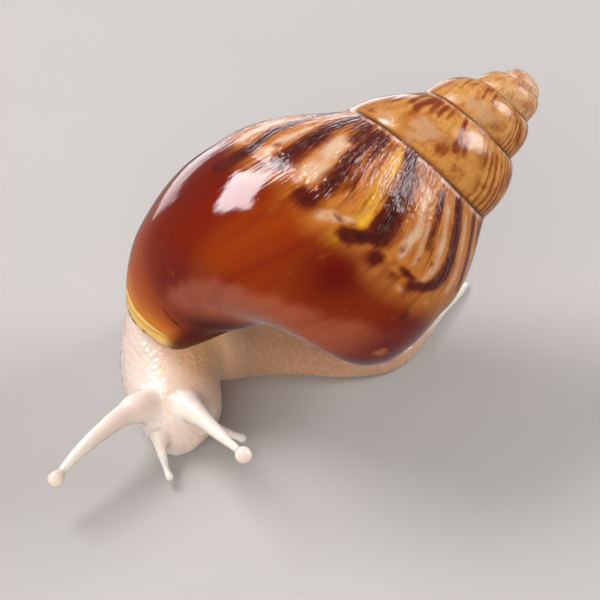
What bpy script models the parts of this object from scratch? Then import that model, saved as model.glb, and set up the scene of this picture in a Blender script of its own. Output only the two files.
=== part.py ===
"""Giant African land snail, life size, crawling with its head bent to its left.

Everything is worked out in millimetres: +Z is up, the tail points along +Y and the snail's
left side faces +X. The finished pieces are scaled to metres and centred on their own foot.
"""
import math

import bmesh
import bpy
from mathutils import Matrix, Vector

MM = 0.001
GAP = 0.3

# Shell: a cone of whorls round an axis, with every length growing by GROWTH in one turn.
# Turns count from zero at the lip, and are negative towards the apex.
GROWTH = 1.6
STEPS_PER_TURN = 24
FIRST_TURN = -4.25
CONE_TIP_ABOVE_APEX = 4.6
SEAM_DEPTH_AT_LIP = 34.0
SEAM_SLOPE = 0.484
SIDE_STEPS = 6
BASE_STEPS = 12

# Below its widest line the last whorl closes in to the columella: (radius, depth from apex).
BASE_AT_LIP = (
    (26.8, 54.9), (26.2, 59.8), (24.6, 65.3), (22.5, 70.6), (19.6, 74.4),
    (15.6, 76.2), (11.4, 76.2), (7.4, 75.2), (3.4, 73.2), (0.0, 65.5),
)
BASE_ONE_TURN_BACK = (
    (17.3, 32.8), (18.1, 36.4), (18.1, 40.4), (15.0, 43.6), (8.0, 44.5),
    (3.6, 46.0), (2.2, 49.0), (1.5, 54.0), (1.3, 59.0), (0.0, 65.5),
)
LATE_FLARE = 1.1
LIP_THICKNESS = 1.1
MOUTH_TURN = 0.035

# The shell is carried with its mouth down and its apex raised, back and to the snail's right.
APEX = (7.8, 38.2, 46.0)
SHELL_LIFT = 23.8
SHELL_TURN = 13.0

# Mantle: the collar of flesh that fills the mouth of the shell.
MANTLE_INSET = 0.93
MANTLE_UP = 0.022
MANTLE_DOWN = 0.012

# Stations of the body from the tail tip to the mouth, seen from above:
# x, y, heading in degrees, left width, right width, height, height of the widest line, tuck.
BODY = (
    (6.8, 29.2, -75, 0.5, 0.5, 0.9, 0.2, 0.1),
    (7.6, 26.0, -75, 2.1, 2.4, 2.2, 0.4, 0.1),
    (9.0, 21.5, -75, 3.7, 5.0, 3.6, 0.6, 0.1),
    (10.3, 16.0, -78, 6.9, 7.8, 4.6, 0.7, 0.08),
    (11.0, 9.5, -86, 10.9, 10.0, 5.4, 0.8, 0.06),
    (10.5, 3.0, -95, 10.8, 10.5, 6.0, 0.8, 0.06),
    (8.5, -4.0, -104, 9.4, 10.5, 7.5, 0.9, 0.06),
    (6.5, -11.0, -102, 9.3, 10.5, 11.0, 1.1, 0.08),
    (5.3, -17.5, -88, 10.0, 11.2, 17.3, 2.4, 0.1),
    (6.8, -23.5, -60, 9.4, 11.0, 20.0, 4.8, 0.14),
    (11.0, -27.0, -32, 8.7, 9.3, 17.5, 4.2, 0.18),
    (15.7, -28.6, -18, 8.0, 8.4, 14.3, 4.2, 0.22),
    (19.8, -29.4, -13, 7.8, 7.4, 11.8, 4.0, 0.28),
    (22.8, -30.2, -10, 7.4, 6.2, 9.8, 3.6, 0.35),
    (25.2, -30.7, -6, 6.0, 4.7, 7.6, 3.0, 0.4),
    (26.9, -31.0, -4, 4.0, 3.1, 5.4, 2.3, 0.45),
    (27.8, -31.1, -4, 1.8, 1.5, 3.2, 1.6, 0.5),
)
RING_POINTS = 20
BODY_PIECES = (
    ("tail", 0.0, 3.0, 8),
    ("foot_back", 3.0, 5.0, 6),
    ("foot_middle", 5.0, 7.0, 6),
    ("foot_front", 7.0, 9.0, 7),
    ("neck", 9.0, 11.0, 6),
    ("head", 11.0, 16.0, 12),
)

# Feelers: points on the centre line, from inside the head to the end, with the radius there.
UPPER_RIGHT = (
    (20.4, -32.4, 6.0, 3.0), (22.0, -36.7, 8.0, 2.75), (23.4, -39.5, 8.6, 1.95),
    (25.2, -42.6, 9.0, 1.6), (28.0, -47.4, 8.9, 1.25), (30.0, -50.8, 8.2, 0.9), (30.9, -52.2, 7.8, 0.75),
)
UPPER_LEFT = (
    (21.0, -29.1, 6.3, 3.0), (23.8, -28.7, 7.4, 2.8), (26.8, -28.2, 8.6, 2.1), (30.5, -27.6, 10.1, 1.5),
    (34.6, -27.0, 11.7, 1.2), (39.0, -26.4, 13.5, 0.85), (42.6, -25.8, 14.9, 0.6),
)
LOWER_RIGHT = (
    (25.6, -34.0, 4.2, 1.9), (27.6, -34.6, 3.8, 1.3), (29.4, -34.8, 3.3, 0.9), (31.3, -34.9, 2.5, 0.58),
    (32.3, -34.9, 2.1, 0.62), (33.1, -34.8, 1.8, 0.78), (33.7, -34.8, 1.6, 0.4),
)
LOWER_LEFT = (
    (24.4, -28.4, 4.2, 1.8), (26.7, -25.4, 3.9, 1.1), (28.0, -23.4, 3.3, 0.75), (28.9, -22.0, 2.8, 0.65),
    (29.6, -20.9, 2.4, 0.78), (29.9, -20.4, 2.2, 0.4),
)
EYE_RIGHT = (31.85, -53.5, 7.35)
EYE_LEFT = (44.1, -25.6, 15.5)
EYE_RADIUS = 1.4
FEELER_SIDES = 10


def spline(rows, place):
    """Smooth curve through the rows; a whole number is a row itself."""
    low = min(max(int(place), 0), len(rows) - 2)
    part = place - low
    before = rows[max(low - 1, 0)]
    after = rows[min(low + 2, len(rows) - 1)]
    values = []
    for a, b, c, d in zip(before, rows[low], rows[low + 1], after):
        bend = (3 * (b - c) + d - a) * part + 2 * a - 5 * b + 4 * c - d
        values.append(b + 0.5 * part * (c - a + part * bend))
    return values


def seam(turn):
    """Radius and depth of the seam above the whorl, tightening to the blunt apex."""
    if turn <= FIRST_TURN:
        return 0.0, 0.0
    cone = SEAM_DEPTH_AT_LIP * GROWTH ** turn
    opening = min(turn - FIRST_TURN, 1.0)
    dome = 1 - (1 - opening) ** 2
    past = cone - CONE_TIP_ABOVE_APEX
    depth = 0.5 * (past + math.sqrt(past * past + 0.4))
    return SEAM_SLOPE * cone * math.sqrt(dome), depth * dome


def whorl_side(turn):
    """Section of one whorl from the seam above it to the seam below it."""
    top_radius, top_depth = seam(turn)
    low_radius, low_depth = seam(turn + 1)
    flatness = min(max((turn + 1.6) / 0.5, 0.0), 1.0)
    shoulder = 0.62 + 0.43 * flatness
    points = []
    for step in range(SIDE_STEPS + 1):
        part = step / SIDE_STEPS
        swell = math.sin(0.5 * math.pi * part ** shoulder)
        radius = top_radius + (low_radius - top_radius) * swell
        points.append((radius, top_depth + (low_depth - top_depth) * part))
    return points


def whorl_base(turn):
    """Section of the last whorl below its widest line, down to the columella."""
    grown = (GROWTH ** (turn + 1) - 1) / (GROWTH - 1)
    rows = [seam(turn + 1)]
    for number, (back, lip) in enumerate(zip(BASE_ONE_TURN_BACK, BASE_AT_LIP)):
        share = grown ** (1 + LATE_FLARE * (number / len(BASE_AT_LIP)) ** 2.5)
        rows.append([b + (l - b) * share for b, l in zip(back, lip)])
    spots = [len(BASE_AT_LIP) * step / BASE_STEPS for step in range(1, BASE_STEPS + 1)]
    return [spline(rows, spot) for spot in spots]


def round_axis(section, turn):
    """Turn a section of (radius, depth) about the axis to its place on the spiral."""
    angle = -2 * math.pi * turn
    return [
        Vector((radius * math.cos(angle), radius * math.sin(angle), -depth))
        for radius, depth in section
    ]


def draw_line(bm, points, closed=False):
    """Line of edges through the points."""
    line = bmesh.ops.create_vert(bm, co=points[0])["vert"]
    for point in points[1:]:
        grown = bmesh.ops.extrude_vert_indiv(bm, verts=line[-1:])["verts"][0]
        grown.co = point
        line.append(grown)
    if closed:
        bmesh.ops.contextual_create(bm, geom=[line[-1], line[0]])
    return line


def sweep_line(bm, line, points, closed=False):
    """Extrude the line of edges and set the new line on the points."""
    pairs = list(zip(line, line[1:]))
    if closed:
        pairs.append((line[-1], line[0]))
    edges = [bm.edges.get(pair) for pair in pairs]
    grown = bmesh.ops.extrude_edge_only(bm, edges=edges)["geom"]
    fresh = {item for item in grown if isinstance(item, bmesh.types.BMVert)}
    new_line = []
    for vert, point in zip(line, points):
        partner = next(e.other_vert(vert) for e in vert.link_edges if e.other_vert(vert) in fresh)
        partner.co = point
        new_line.append(partner)
    return new_line


def finish_mesh(bm):
    """Weld, close up and turn every face outwards."""
    bmesh.ops.remove_doubles(bm, verts=bm.verts, dist=0.02)
    bmesh.ops.dissolve_degenerate(bm, dist=0.005, edges=bm.edges)
    bmesh.ops.triangulate(bm, faces=bm.faces)
    bmesh.ops.recalc_face_normals(bm, faces=bm.faces)


def make_object(name, bm, material):
    """Object from the finished bmesh, with its own material."""
    mesh = bpy.data.meshes.new(name)
    bm.to_mesh(mesh)
    bm.free()
    piece = bpy.data.objects.new(name, mesh)
    piece.data.materials.append(material)
    bpy.context.scene.collection.objects.link(piece)
    return piece


def make_material(name, colour, roughness):
    """Plain Principled material."""
    material = bpy.data.materials.new(name)
    material.use_nodes = True
    shader = material.node_tree.nodes["Principled BSDF"]
    shader.inputs["Base Color"].default_value = (*colour, 1.0)
    shader.inputs["Roughness"].default_value = roughness
    return material


def mouth_outline():
    """Sections of the lip edge and of the whorl behind it, both at the mouth of the shell."""
    lip = whorl_side(0) + whorl_base(0)
    inner = [lip[0]]
    for before, here, after in zip(lip, lip[1:], lip[2:]):
        along = Vector((after[0] - before[0], after[1] - before[1])).normalized()
        inner.append((here[0] - LIP_THICKNESS * along.y, here[1] + LIP_THICKNESS * along.x))
    inner.append(lip[-1])
    return lip, inner, [seam(0)] + whorl_base(-1)


def shell_place():
    """Turn and move from the shell's own axes to the snail's back."""
    turn = Matrix.Rotation(math.radians(SHELL_TURN), 4, "Z")
    tilt = Matrix.Rotation(math.radians(SHELL_LIFT - 90), 4, "X")
    half = Matrix.Rotation(math.pi, 4, "Z")
    return Matrix.Translation(APEX) @ turn @ tilt @ half


def build_shell(material):
    """The whole shell: spire, last whorl, lip and the hollow of its mouth."""
    bm = bmesh.new()
    first = FIRST_TURN - 1
    spire_steps = round((-1 - first) * STEPS_PER_TURN)
    line = draw_line(bm, round_axis(whorl_side(first), first))
    for step in range(1, spire_steps + 1):
        turn = first + step / STEPS_PER_TURN
        line = sweep_line(bm, line, round_axis(whorl_side(turn), turn))
    line = draw_line(bm, round_axis(whorl_side(-1) + whorl_base(-1), -1))
    for step in range(1, STEPS_PER_TURN + 1):
        turn = -1 + step / STEPS_PER_TURN
        line = sweep_line(bm, line, round_axis(whorl_side(turn) + whorl_base(turn), turn))
    inner = mouth_outline()[1]
    sweep_line(bm, line, round_axis(inner, 0))
    bmesh.ops.remove_doubles(bm, verts=bm.verts, dist=0.02)
    bmesh.ops.dissolve_degenerate(bm, dist=0.005, edges=bm.edges)
    rim = [edge for edge in bm.edges if edge.is_boundary]
    grown = bmesh.ops.extrude_edge_only(bm, edges=rim)["geom"]
    floor_verts = [item for item in grown if isinstance(item, bmesh.types.BMVert)]
    hollow = Matrix.Rotation(2 * math.pi * MOUTH_TURN, 3, "Z") @ Matrix.Diagonal((0.96, 0.96, 1.0))
    bmesh.ops.transform(bm, matrix=hollow.to_4x4(), verts=floor_verts)
    bmesh.ops.remove_doubles(bm, verts=floor_verts, dist=0.02)
    floor_edges = [edge for edge in bm.edges if edge.is_boundary]
    bmesh.ops.contextual_create(bm, geom=floor_edges)
    finish_mesh(bm)
    bmesh.ops.transform(bm, matrix=shell_place(), verts=bm.verts)
    return make_object("shell", bm, material)


def build_mantle(material):
    """Plug of flesh in the mouth of the shell, standing a little out of it."""
    bm = bmesh.new()
    _, inner, back = mouth_outline()
    outline = inner[1:-1] + back[-2:0:-1]
    middle = Vector((sum(p[0] for p in outline), sum(p[1] for p in outline))) / len(outline)
    inset = [Vector(point).lerp(middle, 1 - MANTLE_INSET) for point in outline]
    line = draw_line(bm, round_axis(inset, -MANTLE_UP), closed=True)
    bmesh.ops.contextual_create(bm, geom=[bm.edges.get(p) for p in zip(line, line[1:] + line[:1])])
    line = sweep_line(bm, line, round_axis(inset, 0), closed=True)
    line = sweep_line(bm, line, round_axis(inset, MANTLE_DOWN), closed=True)
    bmesh.ops.contextual_create(bm, geom=[bm.edges.get(p) for p in zip(line, line[1:] + line[:1])])
    finish_mesh(bm)
    bmesh.ops.transform(bm, matrix=shell_place(), verts=bm.verts)
    return make_object("mantle_collar", bm, material)


def body_ring(place, shift=0.0):
    """Ring of points round the body at one station, flat along the floor."""
    x, y, heading, left, right, height, widest, tuck = spline(BODY, place)
    facing = math.radians(heading)
    ahead = Vector((math.cos(facing), math.sin(facing), 0.0))
    side = Vector((-ahead.y, ahead.x, 0.0))
    middle = Vector((x, y, 0.0)) + ahead * shift
    under = math.acos(1 - tuck)
    points = []
    for number in range(RING_POINTS):
        angle = -under + (math.pi + 2 * under) * number / (RING_POINTS - 1)
        reach = (left if math.cos(angle) > 0 else right) * math.cos(angle)
        if angle < 0 or angle > math.pi:
            rise = widest * (1 + math.sin(angle) / math.sin(under))
        else:
            rise = widest + (height - widest) * math.sin(angle)
        points.append(middle + side * reach + Vector((0.0, 0.0, rise)))
    return points


def build_body(name, start, end, steps, material):
    """One length of the body, with half a gap left at each end that meets another."""
    bm = bmesh.new()
    line = None
    for step in range(steps + 1):
        place = start + (end - start) * step / steps
        shift = 0.0
        if step == 0 and start > 0:
            shift = GAP / 2
        if step == steps and end < len(BODY) - 1:
            shift = -GAP / 2
        ring = body_ring(place, shift)
        if line is None:
            line = draw_line(bm, ring, closed=True)
            bmesh.ops.contextual_create(bm, geom=bm.edges[:])
        else:
            line = sweep_line(bm, line, ring, closed=True)
    last = [bm.edges.get(pair) for pair in zip(line, line[1:] + line[:1])]
    bmesh.ops.contextual_create(bm, geom=last)
    finish_mesh(bm)
    return make_object(name, bm, material)


def build_feeler(name, rows, material):
    """Tapering round feeler along its centre line."""
    bm = bmesh.new()
    steps = 2 * (len(rows) - 1)
    line = None
    for step in range(steps + 1):
        x, y, z, radius = spline(rows, step / 2)
        ahead = Vector(spline(rows, step / 2 + 0.05)[:3]) - Vector(spline(rows, step / 2 - 0.05)[:3])
        if step == 0:
            ahead = Vector(rows[1][:3]) - Vector(rows[0][:3])
        if step == steps:
            ahead = Vector(rows[-1][:3]) - Vector(rows[-2][:3])
        turn = ahead.to_track_quat("Z", "Y").to_matrix()
        ring = []
        for side in range(FEELER_SIDES):
            angle = 2 * math.pi * side / FEELER_SIDES
            rim = Vector((radius * math.cos(angle), radius * math.sin(angle), 0.0))
            ring.append(Vector((x, y, z)) + turn @ rim)
        if line is None:
            line = draw_line(bm, ring, closed=True)
            bmesh.ops.contextual_create(bm, geom=bm.edges[:])
        else:
            line = sweep_line(bm, line, ring, closed=True)
    last = [bm.edges.get(pair) for pair in zip(line, line[1:] + line[:1])]
    bmesh.ops.contextual_create(bm, geom=last)
    finish_mesh(bm)
    return make_object(name, bm, material)


def build_eye(name, middle, material):
    """Round bulb that carries the eye at the end of an upper feeler."""
    bm = bmesh.new()
    place = Matrix.Translation(middle)
    bmesh.ops.create_icosphere(bm, subdivisions=2, radius=EYE_RADIUS, matrix=place)
    return make_object(name, bm, material)


def swollen_copy(piece, amount):
    """Hidden copy grown outwards along its normals, used as a cutter."""
    bm = bmesh.new()
    bm.from_mesh(piece.data)
    bm.normal_update()
    moved = [(vert, vert.co + vert.normal * amount * vert.calc_shell_factor()) for vert in bm.verts]
    for vert, place in moved:
        vert.co = place
    cutter = make_object(piece.name + "_cutter", bm, piece.data.materials[0])
    cutter.hide_render = True
    cutter.display_type = "WIRE"
    return cutter


def cut(piece, cutter):
    """Take the cutter away from the piece."""
    step = piece.modifiers.new("cut by " + cutter.name, "BOOLEAN")
    step.operation = "DIFFERENCE"
    step.solver = "EXACT"
    step.object = cutter


def centre_and_scale(pieces):
    """Centre the snail over the origin and scale millimetres to metres."""
    corners = [vert.co for piece in pieces for vert in piece.data.vertices]
    low = [min(corner[axis] for corner in corners) for axis in range(3)]
    high = [max(corner[axis] for corner in corners) for axis in range(3)]
    shift = Matrix.Translation((-(low[0] + high[0]) / 2, -(low[1] + high[1]) / 2, -low[2]))
    for piece in bpy.data.objects:
        piece.data.transform(Matrix.Scale(MM, 4) @ shift)


def main():
    for old in list(bpy.data.objects):
        bpy.data.objects.remove(old)
    shell_brown = make_material("shell", (0.36, 0.13, 0.04), 0.2)
    flesh = make_material("flesh", (0.86, 0.78, 0.70), 0.35)
    mantle_flesh = make_material("mantle", (0.90, 0.82, 0.70), 0.4)
    eye_flesh = make_material("eye_bulb", (0.90, 0.84, 0.78), 0.25)

    shell = build_shell(shell_brown)
    mantle = build_mantle(mantle_flesh)
    body = {name: build_body(name, start, end, steps, flesh) for name, start, end, steps in BODY_PIECES}
    feelers = {
        "upper_feeler_right": build_feeler("upper_feeler_right", UPPER_RIGHT, flesh),
        "upper_feeler_left": build_feeler("upper_feeler_left", UPPER_LEFT, flesh),
        "lower_feeler_right": build_feeler("lower_feeler_right", LOWER_RIGHT, flesh),
        "lower_feeler_left": build_feeler("lower_feeler_left", LOWER_LEFT, flesh),
    }
    eyes = [build_eye("eye_right", EYE_RIGHT, eye_flesh), build_eye("eye_left", EYE_LEFT, eye_flesh)]

    shell_cutter = swollen_copy(shell, GAP)
    mantle_cutter = swollen_copy(mantle, GAP)
    cut(mantle, shell_cutter)
    for name in ("foot_back", "foot_middle", "foot_front", "neck"):
        cut(body[name], shell_cutter)
    for name in ("foot_front", "neck"):
        cut(body[name], mantle_cutter)
    head_cutter = swollen_copy(body["head"], GAP)
    for feeler in feelers.values():
        cut(feeler, head_cutter)

    centre_and_scale([shell, mantle, *body.values(), *feelers.values(), *eyes])


main()
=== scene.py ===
"""Looks of the giant African land snail: a glossy, flamed shell on a wet, pebbled, pale body.

Shapes are worked out in millimetres, as the solids are: +Z up, the tail points along +Y and
the left side faces +X. Each finished piece is scaled to metres and moved onto the frame.
"""

import math
from types import SimpleNamespace

import bmesh
import bpy
from mathutils import Matrix, Vector, kdtree, noise


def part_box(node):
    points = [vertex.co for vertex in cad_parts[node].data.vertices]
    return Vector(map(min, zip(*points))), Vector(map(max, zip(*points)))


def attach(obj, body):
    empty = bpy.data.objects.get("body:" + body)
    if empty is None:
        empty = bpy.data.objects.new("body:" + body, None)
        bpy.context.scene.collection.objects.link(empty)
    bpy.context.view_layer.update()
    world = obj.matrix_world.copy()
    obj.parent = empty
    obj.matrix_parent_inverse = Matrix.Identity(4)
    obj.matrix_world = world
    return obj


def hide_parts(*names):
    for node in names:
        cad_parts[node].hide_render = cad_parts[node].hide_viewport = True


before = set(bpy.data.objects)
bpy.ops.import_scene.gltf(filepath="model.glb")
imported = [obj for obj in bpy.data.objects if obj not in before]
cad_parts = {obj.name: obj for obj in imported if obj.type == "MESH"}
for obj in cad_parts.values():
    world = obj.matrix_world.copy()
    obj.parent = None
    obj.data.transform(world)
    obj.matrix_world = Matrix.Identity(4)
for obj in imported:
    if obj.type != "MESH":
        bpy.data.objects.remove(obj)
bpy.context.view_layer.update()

MM = 0.001

# Shell: a cone of whorls round an axis, with every length growing by GROWTH in one turn.
# Turns count from zero at the lip, and are negative towards the apex. A place on a whorl runs
# from 0 at the seam above it to 1 at its widest line, and on to 2 at the columella.
GROWTH = 1.6
FIRST_TURN = -4.25
CONE_TIP_ABOVE_APEX = 4.6
SEAM_DEPTH_AT_LIP = 34.0
SEAM_SLOPE = 0.484
BASE_AT_LIP = (
    (26.8, 54.9), (26.2, 59.8), (24.6, 65.3), (22.5, 70.6), (19.6, 74.4),
    (15.6, 76.2), (11.4, 76.2), (7.4, 75.2), (3.4, 73.2), (0.0, 65.5),
)
BASE_ONE_TURN_BACK = (
    (17.3, 32.8), (18.1, 36.4), (18.1, 40.4), (15.0, 43.6), (8.0, 44.5),
    (3.6, 46.0), (2.2, 49.0), (1.5, 54.0), (1.3, 59.0), (0.0, 65.5),
)
LATE_FLARE = 1.1
LIP_THICKNESS = 1.1
LIP_BULGE = 0.4
MOUTH_TURN = 0.035
MOUTH_NARROWING = 0.04
APEX = (7.8, 38.2, 46.0)
SHELL_LIFT = 23.8
SHELL_TURN = 13.0

# Fineness of the shell's surface.
STEPS_PER_TURN = 540
SIDE_COLUMNS = 22
SIDE_CROWDING = 1.35
BASE_COLUMNS = 44
ROUNDING_STEPS = 6

# Mantle: columns down its side and base, its share of the mouth, and the turns it spans.
MANTLE_SIDE = 14
MANTLE_BASE = 30
MANTLE_INSET = 0.93
MANTLE_UP = 0.022
MANTLE_DOWN = 0.012

# Stations of the body from the tail tip to the mouth, seen from above:
# x, y, heading in degrees, left width, right width, height, height of the widest line, tuck.
BODY = (
    (6.8, 29.2, -75, 0.5, 0.5, 0.9, 0.2, 0.1),
    (7.6, 26.0, -75, 2.1, 2.4, 2.2, 0.4, 0.1),
    (9.0, 21.5, -75, 3.7, 5.0, 3.6, 0.6, 0.1),
    (10.3, 16.0, -78, 6.9, 7.8, 4.6, 0.7, 0.08),
    (11.0, 9.5, -86, 10.9, 10.0, 5.4, 0.8, 0.06),
    (10.5, 3.0, -95, 10.8, 10.5, 6.0, 0.8, 0.06),
    (8.5, -4.0, -104, 9.4, 10.5, 7.5, 0.9, 0.06),
    (6.5, -11.0, -102, 9.3, 10.5, 11.0, 1.1, 0.08),
    (5.3, -17.5, -88, 10.0, 11.2, 17.3, 2.4, 0.1),
    (6.8, -23.5, -60, 9.4, 11.0, 20.0, 4.8, 0.14),
    (11.0, -27.0, -32, 8.7, 9.3, 17.5, 4.2, 0.18),
    (15.7, -28.6, -18, 8.0, 8.4, 14.3, 4.2, 0.22),
    (19.8, -29.4, -13, 7.8, 7.4, 11.8, 4.0, 0.28),
    (22.8, -30.2, -10, 7.4, 6.2, 9.8, 3.6, 0.35),
    (25.2, -30.7, -6, 6.0, 4.7, 7.6, 3.0, 0.4),
    (26.9, -31.0, -4, 4.0, 3.1, 5.4, 2.3, 0.45),
    (27.8, -31.1, -4, 1.8, 1.5, 3.2, 1.6, 0.5),
)

# Feelers: points on the centre line, from inside the head to the end, with the radius there.
UPPER_RIGHT = (
    (20.4, -32.4, 6.0, 3.0), (22.0, -36.7, 8.0, 2.75), (23.4, -39.5, 8.6, 1.95),
    (25.2, -42.6, 9.0, 1.6), (28.0, -47.4, 8.9, 1.25), (30.0, -50.8, 8.2, 0.9),
    (30.9, -52.2, 7.8, 0.75),
)
UPPER_LEFT = (
    (21.0, -29.1, 6.3, 3.0), (23.8, -28.7, 7.4, 2.8), (26.8, -28.2, 8.6, 2.1), (30.5, -27.6, 10.1, 1.5),
    (34.6, -27.0, 11.7, 1.2), (39.0, -26.4, 13.5, 0.85), (42.6, -25.8, 14.9, 0.6),
)
LOWER_RIGHT = (
    (25.6, -34.0, 4.2, 1.9), (27.6, -34.6, 3.8, 1.3), (29.4, -34.8, 3.3, 0.9), (31.3, -34.9, 2.5, 0.58),
    (32.3, -34.9, 2.1, 0.62), (33.1, -34.8, 1.8, 0.78), (33.7, -34.8, 1.6, 0.4),
)
LOWER_LEFT = (
    (24.4, -28.4, 4.2, 1.8), (26.7, -25.4, 3.9, 1.1), (28.0, -23.4, 3.3, 0.75), (28.9, -22.0, 2.8, 0.65),
    (29.6, -20.9, 2.4, 0.78), (29.9, -20.4, 2.2, 0.4),
)
FEELERS = (UPPER_RIGHT, UPPER_LEFT, LOWER_RIGHT, LOWER_LEFT)
EYE_RIGHT = (31.85, -53.5, 7.35)
EYE_LEFT = (44.1, -25.6, 15.5)
EYE_RADIUS = 1.4

# Fineness of the skin, and how deep the shell and the eyes are bedded in the flesh.
SKIN_VOXEL = 0.3
RING_POINTS = 72
STATION_STEPS = 10
FEELER_SIDES = 24
FEELER_STEPS = 60
SHELL_BEDDING = 0.2
FEELER_INTO_EYE = 0.3

# The snail sits centred over the origin of the frame: the eye tells how far it was moved.
eye_low, eye_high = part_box("eye_left")
SHIFT = (eye_low + eye_high) / 2 - Vector(EYE_LEFT) * MM


def spline(rows, place):
    """Smooth curve through the rows; a whole number is a row itself."""
    low = min(max(int(place), 0), len(rows) - 2)
    part = place - low
    before = rows[max(low - 1, 0)]
    after = rows[min(low + 2, len(rows) - 1)]
    values = []
    for a, b, c, d in zip(before, rows[low], rows[low + 1], after):
        bend = (3 * (b - c) + d - a) * part + 2 * a - 5 * b + 4 * c - d
        values.append(b + 0.5 * part * (c - a + part * bend))
    return values


def ease(value, start, end):
    """Soft step: 0 at start, 1 at end."""
    share = min(max((value - start) / (end - start), 0.0), 1.0)
    return share * share * (3 - 2 * share)


def bell(value, middle, width):
    """Soft bump of height 1."""
    return math.exp(-(((value - middle) / width) ** 2))


def wobble(x, y=0.0, z=0.0):
    """Smooth noise between -1 and 1."""
    return noise.noise(Vector((x, y, z)))


# ---- shape of the shell


def seam(turn):
    """Radius and depth of the seam above the whorl, tightening to the blunt apex."""
    if turn <= FIRST_TURN:
        return 0.0, 0.0
    cone = SEAM_DEPTH_AT_LIP * GROWTH ** turn
    opening = min(turn - FIRST_TURN, 1.0)
    dome = 1 - (1 - opening) ** 2
    past = cone - CONE_TIP_ABOVE_APEX
    depth = 0.5 * (past + math.sqrt(past * past + 0.4))
    return SEAM_SLOPE * cone * math.sqrt(dome), depth * dome


def side_point(turn, part):
    """Point on the side of a whorl, between the seam above it and the seam below it."""
    top_radius, top_depth = seam(turn)
    low_radius, low_depth = seam(turn + 1)
    flatness = min(max((turn + 1.6) / 0.5, 0.0), 1.0)
    swell = math.sin(0.5 * math.pi * part ** (0.62 + 0.43 * flatness))
    return (
        top_radius + (low_radius - top_radius) * swell,
        top_depth + (low_depth - top_depth) * part,
    )


def base_rows(turn):
    """Rows that the last whorl's section follows below its widest line."""
    grown = (GROWTH ** (turn + 1) - 1) / (GROWTH - 1)
    rows = [seam(turn + 1)]
    for number, (back, lip) in enumerate(zip(BASE_ONE_TURN_BACK, BASE_AT_LIP)):
        share = grown ** (1 + LATE_FLARE * (number / len(BASE_AT_LIP)) ** 2.5)
        rows.append([b + (l - b) * share for b, l in zip(back, lip)])
    return rows


def growth_line(turn, place):
    """The turn at which this point's growth line left the seam: the lines lean back down the side."""
    lean = 0.054 * math.sin(0.5 * math.pi * min(place / 0.95, 1.0))
    lean *= 1 - ease(place, 1.05, 1.75)
    return turn + lean * ease(-turn, 0.0, 0.14)


def relief(turn, place):
    """How far growth ridges, wrinkles and the thread under the seam stand out, in millimetres."""
    size = GROWTH ** min(turn, 0.0)
    line = growth_line(turn, place)
    band = ease(place, 0.02, 0.12) * (1 - 0.72 * ease(place, 0.82, 1.04)) * (1 - 0.7 * ease(place, 1.2, 1.5))
    if turn < -1:
        band = ease(place, 0.03, 0.12) * (1 - ease(place, 0.9, 0.99))
    ridges = wobble(line * 95, place * 1.6, 0.7) + 0.6 * wobble(line * 190, place * 2.4, 4.1)
    swell = wobble(line * 22, place * 1.2, 9.3)
    thread = bell(place, 0.028, 0.014) * (0.75 + 0.4 * wobble(turn * 40, 2.2))
    dents = wobble(turn * 9, place * 3.1, 5.5) * ease(place, 0.1, 0.3)
    if turn < -1:
        dents *= 1 - ease(place, 0.85, 0.98)
        swell *= 1 - ease(place, 0.9, 0.99)
    swell *= ease(place, 0.02, 0.15) * (1 - ease(place, 1.8, 1.95))
    return size * (0.066 * ridges * band + 0.02 * swell + 0.11 * thread + 0.03 * dents)


def section(turn, places, with_relief=True):
    """Section of a whorl at one turn as (radius, depth), with the relief laid on it."""
    rows = base_rows(turn) if turn >= -1 else None
    points = []
    for place in places:
        if place <= 1:
            points.append(side_point(turn, place))
        else:
            points.append(tuple(spline(rows, len(BASE_AT_LIP) * (place - 1))))
    if not with_relief:
        return points
    raised = []
    for number, (place, here) in enumerate(zip(places, points)):
        before = points[max(number - 1, 0)]
        after = points[min(number + 1, len(points) - 1)]
        along = Vector((after[0] - before[0], after[1] - before[1]))
        if along.length > 1e-6 and place > 0 and place < 2 and here[0] > 0:
            along.normalize()
            lift = relief(turn, place)
            here = (max(here[0] + along.y * lift, 0.0), here[1] - along.x * lift)
        raised.append(here)
    return raised


def inner_edge(lip):
    """The lip's section moved in by its thickness, without the two ends."""
    edge = []
    for before, here, after in zip(lip, lip[1:], lip[2:]):
        along = Vector((after[0] - before[0], after[1] - before[1])).normalized()
        edge.append((here[0] - LIP_THICKNESS * along.y, here[1] + LIP_THICKNESS * along.x))
    return edge


def round_axis(point, turn):
    """Turn a (radius, depth) about the axis to its place on the spiral."""
    angle = -2 * math.pi * turn
    radius, depth = point
    return Vector((radius * math.cos(angle), radius * math.sin(angle), -depth))


def shell_place():
    """Turn and move from the shell's own axes to the snail's back."""
    turn = Matrix.Rotation(math.radians(SHELL_TURN), 4, "Z")
    tilt = Matrix.Rotation(math.radians(SHELL_LIFT - 90), 4, "X")
    half = Matrix.Rotation(math.pi, 4, "Z")
    return Matrix.Translation(APEX) @ turn @ tilt @ half


# ---- markings of the shell

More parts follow.
